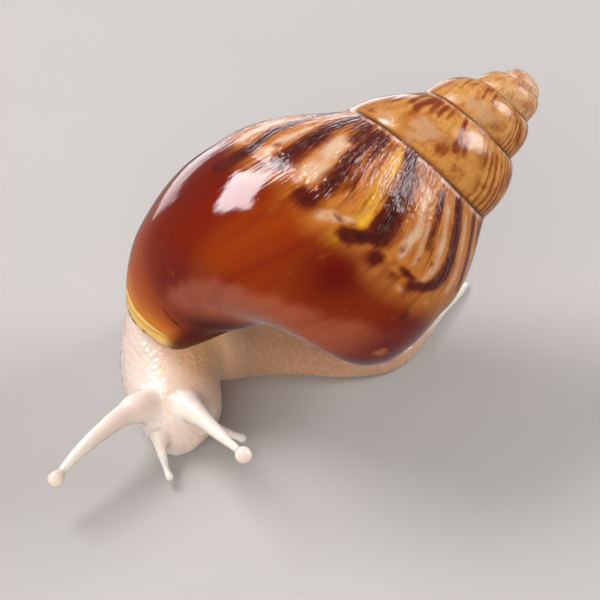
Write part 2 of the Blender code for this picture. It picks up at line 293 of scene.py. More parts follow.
# Streaks follow the growth lines down from the seam. Each has the turn where it leaves the seam,
# the places where it starts and ends, its half width in turns, its strength, and how far its
# lower end bends forward. Spots have a turn, a place, half widths in both, and a strength.
FLAMES = (
    (-0.018, 0.02, 0.62, 0.0070, 0.55, 0.0),
    (-0.048, 0.02, 0.85, 0.0080, 0.75, 0.0),
    (-0.078, 0.02, 0.95, 0.0055, 0.80, 0.0),
    (-0.138, 0.02, 1.16, 0.0095, 1.05, 0.0),
    (-0.187, 0.00, 1.06, 0.0130, 1.10, 0.0),
    (-0.214, 0.00, 0.26, 0.0300, 0.75, 0.0),
    (-0.229, 0.03, 0.42, 0.0110, 0.80, 0.0),
    (-0.262, 0.03, 0.36, 0.0130, 0.85, 0.0),
    (-0.245, 0.04, 1.02, 0.0130, 0.95, 0.0),
    (-0.264, 0.03, 0.80, 0.0060, 0.62, 0.0),
    (-0.279, 0.05, 0.62, 0.0050, 0.50, 0.0),
    (-0.323, 0.00, 1.02, 0.0165, 1.15, 0.0),
    (-0.345, 0.00, 0.62, 0.0060, 0.50, 0.0),
    (-0.391, 0.10, 0.70, 0.0075, 0.75, 0.0),
    (-0.439, 0.02, 1.07, 0.0130, 1.05, 0.045),
    (-0.496, 0.02, 0.78, 0.0100, 0.85, 0.0),
    (-0.545, 0.02, 1.05, 0.0120, 1.00, 0.01),
    (-0.608, 0.04, 0.90, 0.0085, 0.85, 0.0),
    (-0.662, 0.00, 1.08, 0.0125, 1.05, 0.012),
    (-0.722, 0.02, 0.85, 0.0085, 0.85, 0.0),
    (-0.778, 0.00, 1.05, 0.0120, 1.00, -0.01),
    (-0.838, 0.05, 0.92, 0.0085, 0.80, 0.0),
    (-0.888, 0.00, 1.03, 0.0110, 0.95, 0.01),
    (-0.945, 0.02, 0.95, 0.0095, 0.90, 0.0),
)
SPOTS = (
    (-0.296, 1.02, 0.017, 0.050, 1.05),
    (-0.228, 1.03, 0.012, 0.022, 0.85),
    (-0.333, 0.990, 0.009, 0.019, 0.70),
    (-0.374, 0.950, 0.017, 0.050, 1.20),
    (-0.364, 1.000, 0.015, 0.034, 1.15),
    (-0.354, 1.035, 0.013, 0.026, 1.10),
    (-0.395, 1.02, 0.015, 0.048, 0.95),
    (-0.410, 0.80, 0.006, 0.040, 0.65),
    (-0.456, 0.72, 0.006, 0.036, 0.60),
    (-0.436, 0.78, 0.005, 0.032, 0.55),
    (-0.439, 0.955, 0.018, 0.038, 1.00),
    (-0.426, 1.03, 0.012, 0.018, 0.60),
    (-0.214, 0.82, 0.006, 0.055, 0.55),
    (-0.485, 1.10, 0.012, 0.030, 0.45),
    (-0.114, 1.715, 0.0024, 0.024, 0.95),
    (-0.110, 1.785, 0.0030, 0.034, 1.00),
    (-0.573, 0.99, 0.012, 0.035, 0.80),
    (-0.690, 1.04, 0.014, 0.030, 0.85),
    (-0.805, 0.98, 0.010, 0.030, 0.75),
)
PALE_STREAKS = (
    (-0.114, 0.45, 1.04, 0.0110, 0.85, 0.0),
    (-0.162, 0.42, 1.02, 0.0120, 0.85, 0.0),
    (-0.219, 0.30, 0.98, 0.0200, 0.90, 0.0),
    (-0.296, 0.15, 0.95, 0.0050, 0.55, 0.0),
    (-0.363, 0.16, 0.94, 0.0100, 0.85, 0.0),
    (-0.379, 0.25, 0.92, 0.0070, 0.65, 0.0),
    (-0.413, 0.15, 0.92, 0.0110, 0.70, 0.0),
    (-0.466, 0.05, 0.90, 0.0110, 0.60, 0.0),
    (-0.522, 0.25, 0.95, 0.0120, 0.70, 0.0),
    (-0.578, 0.30, 0.96, 0.0150, 0.85, 0.0),
    (-0.636, 0.25, 0.92, 0.0110, 0.65, 0.0),
    (-0.694, 0.35, 0.98, 0.0150, 0.90, 0.0),
    (-0.750, 0.25, 0.92, 0.0120, 0.70, 0.0),
    (-0.808, 0.30, 0.96, 0.0140, 0.80, 0.0),
    (-0.864, 0.30, 0.94, 0.0120, 0.70, 0.0),
    (-0.918, 0.25, 0.94, 0.0130, 0.75, 0.0),
)
PALE_SPOTS = (
    (-0.318, 1.035, 0.011, 0.030, 0.80),
    (-0.330, 0.995, 0.013, 0.040, 0.95),
    (-0.342, 0.930, 0.009, 0.045, 0.80),
    (-0.447, 1.040, 0.010, 0.020, 0.80),
    (-0.457, 0.970, 0.011, 0.032, 0.95),
    (-0.463, 0.870, 0.008, 0.050, 0.75),
    (-0.497, 1.010, 0.010, 0.026, 0.55),
    (-0.514, 1.260, 0.012, 0.030, 0.40),
)

# The spire: blurred flames and grey, worn patches on the older whorls.
SPIRE_FLAMES = (
    (-1.030, 0.10, 0.90, 0.0080, 0.60, 0.0),
    (-1.085, 0.05, 0.80, 0.0090, 0.60, 0.0),
    (-1.127, 0.06, 0.55, 0.0100, 0.80, 0.0),
    (-1.153, 0.10, 0.60, 0.0080, 0.70, 0.0),
    (-1.180, 0.06, 0.50, 0.0090, 0.85, 0.0),
    (-1.207, 0.06, 0.58, 0.0110, 1.05, 0.0),
    (-1.234, 0.06, 0.48, 0.0085, 0.85, 0.0),
    (-1.255, 0.06, 0.42, 0.0080, 0.85, 0.0),
    (-1.276, 0.06, 0.38, 0.0075, 0.70, 0.0),
    (-1.200, 0.04, 0.20, 0.0700, 0.60, 0.0),
    (-1.318, 0.06, 0.66, 0.0075, 1.20, 0.0),
    (-1.338, 0.20, 0.58, 0.0060, 0.90, 0.0),
    (-2.180, 0.10, 0.60, 0.0060, 0.65, 0.0),
    (-2.215, 0.10, 0.50, 0.0060, 0.55, 0.0),
    (-2.262, 0.05, 0.50, 0.0090, 0.75, 0.0),
    (-2.300, 0.05, 0.38, 0.0080, 0.75, 0.0),
    (-2.255, 0.03, 0.16, 0.0600, 0.55, 0.0),
    (-2.420, 0.10, 0.70, 0.0070, 0.65, 0.0),
    (-2.450, 0.10, 0.70, 0.0070, 0.60, 0.0),
)
SPIRE_SPOTS = (
    (-1.342, 0.72, 0.030, 0.130, 0.62),
    (-1.385, 0.78, 0.026, 0.100, 0.55),
    (-1.318, 0.86, 0.030, 0.055, 0.55),
    (-1.262, 0.60, 0.030, 0.050, 0.42),
    (-1.190, 0.88, 0.020, 0.060, 0.60),
    (-2.382, 0.75, 0.020, 0.120, 0.45),
    (-2.350, 0.40, 0.016, 0.100, 0.45),
)
WORN_SPOTS = (
    (-1.290, 0.68, 0.050, 0.24, 0.85),
    (-1.225, 0.84, 0.035, 0.14, 0.75),
    (-1.780, 0.65, 0.050, 0.20, 0.8),
    (-2.310, 0.66, 0.060, 0.26, 1.0),
    (-2.800, 0.60, 0.060, 0.25, 0.7),
    (-3.330, 0.60, 0.070, 0.25, 0.5),
)

# Ground colours of the shell, with a pinkish painted reflection for the belly and a dark plum that serves
# for seam lines, the lip edge and painted shade at the columella.
MAHOGANY = (0.128, 0.002, 0.0003)
RUSSET = (0.24, 0.019, 0.0004)
AMBER = (0.295, 0.038, 0.0004)
HONEY = (0.44, 0.12, 0.006)
ORANGE_TAN = (0.60, 0.23, 0.045)
GOLD = (0.82, 0.43, 0.03)
LIP_AMBER = (0.66, 0.24, 0.032)
LIP_CREAM = (0.90, 0.64, 0.21)
ORANGE_GLOW = (0.52, 0.11, 0.022)
# Painted reflection: the pinkish veil laid on the belly.
PAINTED_BELLY_REFLECTION = (0.40, 0.105, 0.052)
# Dark plum: the real dark seam lines and lip edge, and also painted shade in the hollow at the columella.
PLUM_AND_FOLD_SHADE = (0.06, 0.008, 0.006)
SPIRE_TAN = (0.60, 0.28, 0.065)
SPIRE_PALE = (0.66, 0.38, 0.15)
RUST = (0.33, 0.085, 0.012)
PALE_THREAD = (0.70, 0.43, 0.34)
APEX_BEIGE = (0.78, 0.51, 0.33)

# Colours laid over the ground: streaks, patches, flames, wear and the seam.
STREAK_BROWN = (0.13, 0.01, 0.0004)
VEIN_RED = (0.17, 0.008, 0.0003)
BAND_LIGHT = (0.70, 0.40, 0.17)
BAND_BROWN = (0.22, 0.042, 0.008)
SPIRE_CLOUD = (0.34, 0.095, 0.014)
SPIRE_BAND = (0.40, 0.12, 0.02)
SPIRE_GRIT = (0.26, 0.08, 0.018)
PATCH_EDGE = (0.52, 0.18, 0.03)
PATCH_CREAM = (0.70, 0.47, 0.31)
FLAME_HALO = (0.55, 0.32, 0.22)
FLAME_BROWN = (0.098, 0.01, 0.004)
FLAME_ON_SPIRE = (0.20, 0.026, 0.005)
FLAME_CORE = (0.032, 0.006, 0.005)
SCUFF_TAN = (0.64, 0.41, 0.24)
PIT_BROWN = (0.20, 0.08, 0.035)
# Pale hair lines: partly the real striation colour, partly painted glints of the ridged surface.
HAIR_LINE_AND_GLINT = (0.66, 0.42, 0.28)
SEAM_THREAD = (0.74, 0.50, 0.42)
SEAM_BROWN = (0.07, 0.014, 0.01)

# Colours of the skin and the eye bulbs, and how strongly their wet coat and the shell's bend light.
SKIN_PALE = (0.93, 0.86, 0.82)
SKIN_ROSY = (0.89, 0.80, 0.74)
# Painted light: the warm colour laid on the shaded left flank and neck, for light glowing through the flesh
# there.
SKIN_SHADE_WARMTH = (0.98, 0.52, 0.21)
# Painted shade: the darker brown laid on the body in the shell's shadow and on the key-lit upper neck.
SKIN_PAINTED_SHADE = (0.44, 0.23, 0.12)
SKIN_GROOVE = (0.80, 0.56, 0.42)
EYE_PALE = (0.88, 0.78, 0.70)
EYE_ROSY = (0.84, 0.71, 0.62)
WET_COAT_IOR = 1.32


def blend(one, other, share):
    return tuple(a + (b - a) * share for a, b in zip(one, other))


def spire_tone(turn, place):
    """Colour of the older whorls under their flames: clouded tan, paler towards the apex."""
    tone = blend(SPIRE_TAN, SPIRE_PALE, ease(-turn, 1.8, 3.0))
    tone = blend(tone, RUST, 0.55 * ease(wobble(turn * 16, place * 2.4, 11.0), 0.05, 0.45))
    tone = blend(tone, HONEY, 0.5 * ease(wobble(turn * 13, place * 2.0, 21.0), 0.1, 0.5))
    tone = blend(tone, APEX_BEIGE, ease(-turn, 3.2, 3.8))
    thread = bell(place, 0.055, 0.022) * ease(wobble(turn * 24, 7.7), -0.3, 0.4)
    tone = blend(tone, PALE_THREAD, 0.7 * thread)
    seams = bell(place, 0.0, 0.030) + bell(place, 1.0, 0.022)
    return blend(tone, PLUM_AND_FOLD_SHADE, 0.85 * seams * (1 - ease(-turn, 3.4, 4.2)))


def upper_tone(turn, place):
    """Colour of the ridged upper part of the last whorl: tan and honey, with one golden streak."""
    line = growth_line(turn, place)
    drift = 0.5 + 0.5 * wobble(line * 6, place * 1.4, 2.0)
    gold = 1.2 * bell(line, -0.297, 0.0085) * ease(place, 0.02, 0.15)
    return blend(blend(ORANGE_TAN, HONEY, drift), GOLD, min(gold, 1.0))


def lower_tone(turn, place):
    """Colour of the smooth lower part: amber, dark red at both ends, with a painted pinkish reflection
    towards the columella.
    """
    line = growth_line(turn, place)
    tone = blend(AMBER, RUSSET, ease(wobble(line * 14, place * 0.9, 6.0), -0.2, 0.4))
    front = ease(turn, -0.29, -0.20)
    tone = blend(tone, MAHOGANY, min(front * (0.9 + 0.6 * wobble(line * 18, place, 1.0)), 1.0))
    tone = blend(tone, MAHOGANY, bell(turn, -0.380, 0.040) * bell(place, 1.16, 0.14))
    tone = blend(tone, MAHOGANY, 0.9 * ease(-turn, 0.38, 0.52))
    # Painted reflection: a pinkish veil on the belly below a ragged line, standing in for a reflection of
    # the surroundings.
    reflection_top = 1.60 + 1.35 * (turn + 0.156) + 0.02 * wobble(turn * 60, place * 8, 4.0)
    painted_reflection = ease(place, reflection_top, reflection_top + 0.06) * ease(-turn, 0.11, 0.19) * (1 - ease(-turn, 0.43, 0.52))
    tone = blend(tone, PAINTED_BELLY_REFLECTION, painted_reflection * (0.75 + 0.3 * wobble(turn * 25, place * 5, 1.5)))
    return blend(tone, ORANGE_GLOW, 0.85 * ease(turn, -0.180, -0.055) * ease(place, 0.95, 1.45))


def ground_tone(turn, place):
    """Colour of the shell under its flames."""
    if turn < -1:
        return spire_tone(turn, place)
    border = 1.06 + 0.05 * wobble(turn * 30, 3.3) - 0.10 * ease(turn, -0.25, -0.1)
    below = ease(place, border - 0.07, border + 0.07)
    tone = blend(upper_tone(turn, place), lower_tone(turn, place), below)
    tone = blend(tone, PALE_THREAD, 0.5 * bell(place, 0.039, 0.015) * ease(-turn, 0.12, 0.25))
    tone = blend(tone, PLUM_AND_FOLD_SHADE, 0.95 * bell(place, 0.0, 0.014))

    # The lip: an amber and cream rim, painted shade in the hollow fold at the columella and a broken dark
    # edge.
    rim = ease(turn, -0.035 - 0.070 * ease(place, 0.9, 1.5), -0.006)
    tone = blend(tone, LIP_AMBER, rim)
    tone = blend(tone, LIP_CREAM, 0.9 * ease(turn, -0.038, -0.009) * ease(place, 0.9, 1.4))
    # Painted shade: the hollow where the shell curls in at the columella is darkened as if in shade.
    fold_shade = max(ease(place, 1.66, 1.84) * ease(-turn, 0.05, 0.20), ease(place, 1.79, 1.88))
    tone = blend(tone, PLUM_AND_FOLD_SHADE, 0.94 * fold_shade)
    edge = ease(turn, -0.0090, -0.0040) * (1 - ease(turn, 0.0034, 0.0044)) * (1 - ease(place, 1.72, 1.80))
    return blend(tone, PLUM_AND_FOLD_SHADE, 0.85 * edge * ease(wobble(place * 34, 8.8), -0.25, 0.10))


def strongest_streak(streaks, turn, place):
    """Strength of the strongest streak at this point."""
    line = growth_line(turn, place)
    found = 0.0
    for start, top, end, width, strength, bend in streaks:
        off = line - start - bend * ease(place, 0.7, 1.12)
        if abs(off) > 4 * width:
            continue
        span = ease(place, top - 0.06, top + 0.08) * (1 - ease(place, end - 0.12, end + 0.04))
        swing = 1 + 0.45 * wobble(start * 50, place * 3.4, 8.0)
        off += width * 0.55 * wobble(start * 70, place * 5.0, 3.0)
        found = max(found, strength * span * math.exp(-((off / (width * swing)) ** 2)))
    return found


def strongest_spot(spots, turn, place):
    """Strength of the strongest spot at this point."""
    found = 0.0
    for at_turn, at_place, wide, tall, strength in spots:
        if abs(turn - at_turn) < 3 * wide and abs(place - at_place) < 3 * tall:
            far = ((turn - at_turn) / wide) ** 2 + ((place - at_place) / tall) ** 2
            found = max(found, strength * math.exp(-far * (1 + 0.4 * wobble(turn * 90, place * 9, 5.0))))
    return found


def markings(turn, place):
    """Strength of the flames, of the pale patches, of the rough grain and of the worn patches."""
    if turn >= -1:
        dark = max(strongest_streak(FLAMES, turn, place), strongest_spot(SPOTS, turn, place))
        pale = max(strongest_streak(PALE_STREAKS, turn, place), strongest_spot(PALE_SPOTS, turn, place))
        return dark, pale, 1 - ease(place, 0.62, 1.02), 0.0
    dark = max(strongest_streak(SPIRE_FLAMES, turn, place), strongest_spot(SPIRE_SPOTS, turn, place))
    line = growth_line(turn, place)
    part = line - math.floor(line)
    striped = ease(part, 0.28, 0.40) * (1 - 0.85 * ease(part, 0.58, 0.64))
    stripe = 0.5 + 0.5 * math.cos(2 * math.pi * (line / 0.0200 + 0.3 * wobble(line * 20, place * 1.2)))
    stripe *= striped * ease(place, 0.04, 0.2) * (0.85 + 0.3 * wobble(line * 60, place * 3.0, 7.0))
    dark = max(0.75 * dark, 0.60 * stripe) * (1 - ease(-turn, 2.4, 3.3))
    worn = strongest_spot(WORN_SPOTS, turn, place)
    return dark, 0.0, 0.0, worn


# ---- making of the shell


def shade_smooth(bm):
    for face in bm.faces:
        face.smooth = True


def new_grid(bm, along, across):
    """Grid of that many steps: its vertices, each with its step along and its step across."""
    made = bmesh.ops.create_grid(bm, x_segments=along, y_segments=across, size=1)["verts"]
    return [
        (vert, round((vert.co.x + 1) / 2 * along), round((vert.co.y + 1) / 2 * across))
        for vert in made
    ]


def lay_grid(bm, places, points, turns):
    """Grid whose vertices are set on the whorl, with its growth map, tones and markings."""
    growth = bm.loops.layers.uv["growth"]
    tones = bm.loops.layers.float_color["tone"]
    marks = bm.loops.layers.float_color["marks"]
    for vert, i, j in new_grid(bm, len(points) - 1, len(places) - 1):
        vert.co = points[i][j]
        turn, place = turns[i], places[j]
        map_at = (growth_line(turn, place), place)
        tone = (*ground_tone(turn, place), 1.0)
        mark = markings(turn, place)
        for loop in vert.link_loops:
            loop[growth].uv = map_at
            loop[tones] = tone
            loop[marks] = mark


def lip_rings(outer, inner):
    """Half round in which the lip turns over from its outer edge to its inner edge."""
    rings = []
    for step in range(ROUNDING_STEPS + 1):
        angle = math.pi * step / ROUNDING_STEPS
        share = (1 - math.cos(angle)) / 2
        ring = []
        for outside, inside in zip(outer, inner):
            spot = [a + (b - a) * share for a, b in zip(outside, inside)]
            bulge = LIP_BULGE * math.sin(angle) / (2 * math.pi * max(spot[0], 4.0))
            ring.append(round_axis(spot, bulge))
        rings.append(ring)
    return rings


def mouth_rings(edge, start):
    """Rings that run back into the mouth from an edge at that turn, narrowing a little."""
    rings = []
    for step in range(ROUNDING_STEPS + 1):
        share = step / ROUNDING_STEPS
        thin = 1 - MOUTH_NARROWING * share
        turn = start - MOUTH_TURN * share
        rings.append([round_axis((radius * thin, depth), turn) for radius, depth in edge])
    return rings


def build_shell():
    """The whole shell: spire, last whorl, rounded lip and the hollow of its mouth."""
    bm = bmesh.new()
    bm.loops.layers.uv.new("growth")
    bm.loops.layers.float_color.new("tone")
    bm.loops.layers.float_color.new("marks")

    side = [(step / SIDE_COLUMNS) ** SIDE_CROWDING for step in range(SIDE_COLUMNS + 1)]
    base = [1 + step / BASE_COLUMNS for step in range(1, BASE_COLUMNS + 1)]
    for start, end, places in ((FIRST_TURN - 1, -1, side), (-1, 0, side + base)):
        count = round((end - start) * STEPS_PER_TURN)
        turns = [start + (end - start) * step / count for step in range(count + 1)]
        rings = [[round_axis(spot, turn) for spot in section(turn, places)] for turn in turns]
        lay_grid(bm, places, rings, turns)
    lip = section(0.0, places)
    inner = [lip[0], *inner_edge(lip), lip[-1]]
    rings = lip_rings(lip, inner) + mouth_rings(inner, 0)[1:]
    lay_grid(bm, places, rings, [0.001 * step for step in range(len(rings))])

    # Inside the mouth the older whorl's base goes on as the wall behind the mantle.
    rings = mouth_rings(section(-1.0, places)[SIDE_COLUMNS:], -1)
    lay_grid(bm, places[SIDE_COLUMNS:], rings, [-1.0] * len(rings))

    shade_smooth(bm)
    bmesh.ops.remove_doubles(bm, verts=bm.verts, dist=0.004)
    bmesh.ops.dissolve_degenerate(bm, dist=0.001, edges=bm.edges)
    mouth_floor = [edge for edge in bm.edges if edge.is_boundary]
    bmesh.ops.contextual_create(bm, geom=mouth_floor)
    bmesh.ops.recalc_face_normals(bm, faces=bm.faces)
    bmesh.ops.transform(bm, matrix=shell_place(), verts=bm.verts)
    return finish_piece("shell_flamed", bm, shell_finish())


# ---- pieces and materials


def placed(name, data):
    """New object with that mesh, lamp or lens, linked to the scene."""
    made = bpy.data.objects.new(name, data)
    bpy.context.scene.collection.objects.link(made)
    return made


def as_object(bm, name, *materials):
    """New object made from a bmesh."""
    mesh = bpy.data.meshes.new(name)
    bm.to_mesh(mesh)
    bm.free()
    for material in materials:
        mesh.materials.append(material)
    return placed(name, mesh)


def finish_piece(name, bm, material):
    """Piece from a bmesh in millimetres, set on the frame in metres."""
    bmesh.ops.transform(bm, matrix=Matrix.Translation(SHIFT) @ Matrix.Scale(MM, 4), verts=bm.verts)
    return as_object(bm, name, material)


def node(tree, kind, settings=(), **sockets):
    """Node with its settings and its sockets, named or numbered as i0, given values or outputs."""
    made = tree.nodes.new(kind)
    for key, value in dict(settings).items():
        setattr(made, key, value)
    for key, value in sockets.items():
        socket = made.inputs[int(key[1:]) if key[0] == "i" else key]
        if isinstance(value, bpy.types.NodeSocket):
            tree.links.new(value, socket)
        else:
            socket.default_value = value
    return made


def maths(tree, operation, first, second=0.0, third=0.0):
    return node(tree, "ShaderNodeMath", {"operation": operation}, i0=first, i1=second, i2=third).outputs[0]


def times(tree, first, second):
    return maths(tree, "MULTIPLY", first, second)


def scaled(tree, value, factor, added):
    return maths(tree, "MULTIPLY_ADD", value, factor, added)


def mix(tree, share, one, other, way="MIX"):
    """Colour mixed from two."""
    one, other = [(*colour, 1.0) if isinstance(colour, tuple) else colour for colour in (one, other)]
    settings = {"data_type": "RGBA", "blend_type": way}
    return node(tree, "ShaderNodeMix", settings, i0=share, i6=one, i7=other).outputs[2]


def laid(tree, base, colour, mask, strength):
    """Base with a colour laid over it where the mask says."""
    return mix(tree, times(tree, mask, strength), base, colour)


def soft_range(tree, value, low, high, start=0.0, end=1.0):
    """Value eased from start to end as it goes from low to high."""
    settings = {"interpolation_type": "SMOOTHSTEP"}
    return node(tree, "ShaderNodeMapRange", settings, i0=value, i1=low, i2=high, i3=start, i4=end).outputs[0]


def cloud(tree, vector, scale, detail=2.0, rough=0.5):
    """Noise between 0 and 1."""
    return node(
        tree, "ShaderNodeTexNoise", Vector=vector, Scale=scale, Detail=detail, Roughness=rough
    ).outputs[0]


def streaky(tree, along, across, along_scale, across_scale, detail=2.0, rough=0.5):
    """Noise on the growth map, drawn out along the growth lines."""
    x, y = times(tree, along, along_scale), times(tree, across, across_scale)
    return cloud(tree, node(tree, "ShaderNodeCombineXYZ", X=x, Y=y).outputs[0], 1.0, detail, rough)


def new_material(name):
    material = bpy.data.materials.new(name)
    material.use_nodes = True
    tree = material.node_tree
    return material, tree, tree.nodes["Principled BSDF"]


def set_wet(shader, coat_roughness, specular):
    """Clear wet or glossy coat over the colour."""
    shader.inputs["Specular IOR Level"].default_value = specular
    shader.inputs["Coat Weight"].default_value = 1.0
    shader.inputs["Coat Roughness"].default_value = coat_roughness
    shader.inputs["Coat IOR"].default_value = WET_COAT_IOR


def set_fleshy(shader, weight, depth, radius):
    """Light that goes into the flesh and comes out again near by."""
    shader.inputs["Subsurface Weight"].default_value = weight
    shader.inputs["Subsurface Radius"].default_value = radius
    shader.inputs["Subsurface Scale"].default_value = depth


def set_relief(tree, shader, strength, depth, height, *sockets):
    """Fine relief in the shading, for the colour, the coat or both."""
    bump = node(tree, "ShaderNodeBump", Strength=strength, Distance=depth, Height=height)
    for socket in sockets:
        tree.links.new(bump.outputs[0], shader.inputs[socket])


def stored(tree, name, output):
    """What is stored on the surface under that name."""
    return node(tree, "ShaderNodeAttribute", {"attribute_name": name}).outputs[output]


def shell_patterns(tree):
    """What the shell's colour and relief are mixed from: its growth map, markings and noises."""
    growth = node(tree, "ShaderNodeUVMap", {"uv_map": "growth"}).outputs[0]
    growth = node(tree, "ShaderNodeSeparateXYZ", Vector=growth)
    line, place = growth.outputs[0], growth.outputs[1]
    marks = node(tree, "ShaderNodeSeparateColor", Color=stored(tree, "marks", "Color")).outputs
    spot = node(tree, "ShaderNodeTexCoord").outputs["Object"]
    return SimpleNamespace(
        place=place,
        tone=stored(tree, "tone", "Color"),
        dark=marks[0],
        pale=marks[1],
        grain=marks[2],
        worn=stored(tree, "marks", "Alpha"),
        spire=maths(tree, "LESS_THAN", line, -0.955),
        streaks=streaky(tree, line, place, 230.0, 3.0, 3.0, 0.6),
        broad=streaky(tree, line, place, 60.0, 2.2),
        hairs=streaky(tree, line, place, 620.0, 7.0),
        flecks=streaky(tree, line, place, 150.0, 9.0, 1.0),
        broken=streaky(tree, line, place, 34.0, 1.0, 3.0, 0.65),
        blotches=cloud(tree, spot, 330.0, 3.0, 0.6),
        pits=cloud(tree, spot, 2600.0, 2.0, 0.6),
    )


def shell_ground(tree, on):
    """Ground with brown streaks, red veins below, bands above and clouds on the spire."""
    last_whorl = maths(tree, "SUBTRACT", 1.0, on.spire)
    streaked = times(tree, last_whorl, soft_range(tree, on.streaks, 0.35, 0.75))
    streaked = times(tree, streaked, scaled(tree, on.grain, 0.15, 0.20))
    base = mix(tree, streaked, on.tone, STREAK_BROWN)

    smooth_part = times(tree, maths(tree, "SUBTRACT", 1.0, on.grain), last_whorl)
    veins = times(tree, soft_range(tree, on.broad, 0.46, 0.70, 0.0, 0.34), smooth_part)
    veins = times(tree, veins, soft_range(tree, on.place, 1.25, 1.60, 1.0, 0.35))
    base = mix(tree, veins, base, VEIN_RED)

    for pattern, low, high, part, strength, colour in (
        (on.broad, 0.48, 0.72, on.grain, 0.35, BAND_LIGHT),
        (on.streaks, 0.48, 0.64, on.grain, 0.70, BAND_BROWN),
        (on.blotches, 0.46, 0.66, on.spire, 0.62, SPIRE_CLOUD),
        (on.broad, 0.50, 0.64, on.spire, 0.45, SPIRE_BAND),
        (on.pits, 0.42, 0.66, on.spire, 0.22, SPIRE_GRIT),
    ):
        mask = times(tree, soft_range(tree, pattern, low, high), part)
        base = laid(tree, base, colour, mask, strength)
    return base


def shell_flames(tree, on, base):
    """Pale patches and dark flames, their edges torn along the growth lines."""
    middle = maths(tree, "SUBTRACT", maths(tree, "ADD", on.broad, on.blotches), 1.0)
    coarse = scaled(tree, on.grain, 0.60, 0.25)
    torn = times(tree, maths(tree, "SUBTRACT", on.streaks, 0.5), coarse)
    torn = scaled(tree, middle, 0.55, torn)

    cover = maths(tree, "ADD", torn, on.pale)
    base = mix(tree, soft_range(tree, cover, 0.10, 0.40, 0.0, 0.55), base, PATCH_EDGE)
    base = mix(tree, soft_range(tree, cover, 0.28, 1.00), base, PATCH_CREAM)

    ragged = maths(tree, "ADD", torn, on.dark)
    base = mix(tree, soft_range(tree, ragged, 0.12, 0.46, 0.0, 0.85), base, FLAME_HALO, "MULTIPLY")
    flame = mix(tree, on.spire, FLAME_BROWN, FLAME_ON_SPIRE)
    base = mix(tree, soft_range(tree, ragged, 0.34, 0.76), base, flame)
    return mix(tree, soft_range(tree, ragged, 0.78, 1.22, 0.0, 0.85), base, FLAME_CORE)


def shell_wear(tree, on, base):
    """Scuffed, pitted patches on the spire, pale hair lines above that are partly painted glints, and the
    thread and line at the seam.
    """
    frayed = scaled(tree, maths(tree, "SUBTRACT", on.blotches, 0.5), 2.2, on.worn)
    scuffs = soft_range(tree, scaled(tree, on.pits, 0.9, frayed), 0.75, 1.25)
    scuffs = times(tree, scuffs, soft_range(tree, on.worn, 0.02, 0.20))
    base = laid(tree, base, SCUFF_TAN, scuffs, 0.50)
    holes = times(tree, soft_range(tree, on.pits, 0.60, 0.70), on.worn)
    base = laid(tree, base, PIT_BROWN, holes, 0.60)
    # Pale hair lines along the growth lines: partly real striation colour, partly painted glints.
    pale_lines_and_glints = times(tree, soft_range(tree, on.hairs, 0.55, 0.66), on.grain)
    base = laid(tree, base, HAIR_LINE_AND_GLINT, pale_lines_and_glints, 0.20)

    thread = soft_range(tree, on.place, 0.016, 0.030)
    thread = times(tree, thread, soft_range(tree, on.place, 0.044, 0.060, 1.0, 0.0))
    base = laid(tree, base, SEAM_THREAD, thread, soft_range(tree, on.broken, 0.47, 0.60, 0.0, 0.75))
    seam_width = scaled(tree, on.broken, 0.040, -0.004)
    return laid(tree, base, SEAM_BROWN, maths(tree, "LESS_THAN", on.place, seam_width), 0.85)


def shell_relief(tree, on):
    """Fine ridges along the growth lines, nearly gone on the smooth part, with pits."""
    lines = scaled(tree, on.hairs, 0.25, on.streaks)
    lines = scaled(tree, on.flecks, 1.3, lines)
    lines = times(tree, lines, soft_range(tree, on.place, 0.90, 1.10, 1.0, 0.06))
    lines = times(tree, lines, scaled(tree, on.spire, -0.85, 1.0))
    pitted = times(tree, on.pits, scaled(tree, on.spire, 0.07, 0.03))
    return maths(tree, "ADD", lines, scaled(tree, on.worn, 0.25, pitted))


def shell_finish():
    """Glossy shell: dark flames and pale patches on amber, streaked along the growth lines."""
    material, tree, shader = new_material("flamed_shell")
    on = shell_patterns(tree)
    base = shell_wear(tree, on, shell_flames(tree, on, shell_ground(tree, on)))
    tree.links.new(base, shader.inputs["Base Color"])
    shader.inputs["Roughness"].default_value = 0.4
    set_wet(shader, 0.05, 0.0)
    set_relief(tree, shader, 0.9, 0.00026, shell_relief(tree, on), "Normal", "Coat Normal")
    return material


def skin_finish():
    """Wet, pale, slightly see-through skin."""
    material, tree, shader = new_material("wet_pale_skin")
    flow = stored(tree, "flow", "Vector")
    warm = stored(tree, "warm", "Fac")
    painted_shade = stored(tree, "painted_shade", "Fac")
    spot = node(tree, "ShaderNodeTexCoord").outputs["Object"]
    mottle = cloud(tree, spot, 420.0, 3.0, 0.55)
    base = mix(tree, mottle, SKIN_PALE, SKIN_ROSY)
    # Painted light: the warm colour on the shaded side stands in for light glowing through the flesh.
    base = mix(tree, warm, base, SKIN_SHADE_WARMTH)
    # Painted shade: darker where the shell shades the body, and on the key-lit upper neck.
    base = mix(tree, painted_shade, base, SKIN_PAINTED_SHADE)
    cells = node(tree, "ShaderNodeTexVoronoi", {"feature": "F1"}, Vector=flow, Scale=1.9)
    cells = cells.outputs["Distance"]
    fine = cloud(tree, spot, 2200.0, 2.0, 0.6)
    base = mix(tree, soft_range(tree, cells, 0.35, 0.75, 0.0, 0.20), base, SKIN_GROOVE)
    tree.links.new(base, shader.inputs["Base Color"])
    shader.inputs["Roughness"].default_value = 0.36
    set_fleshy(shader, 0.8, 0.0028, (1.0, 0.65, 0.45))
    set_wet(shader, 0.12, 0.2)
    height = scaled(tree, fine, 0.25, maths(tree, "SUBTRACT", 1.0, cells))
    set_relief(tree, shader, 0.3, 0.00018, height, "Normal", "Coat Normal")
    return material


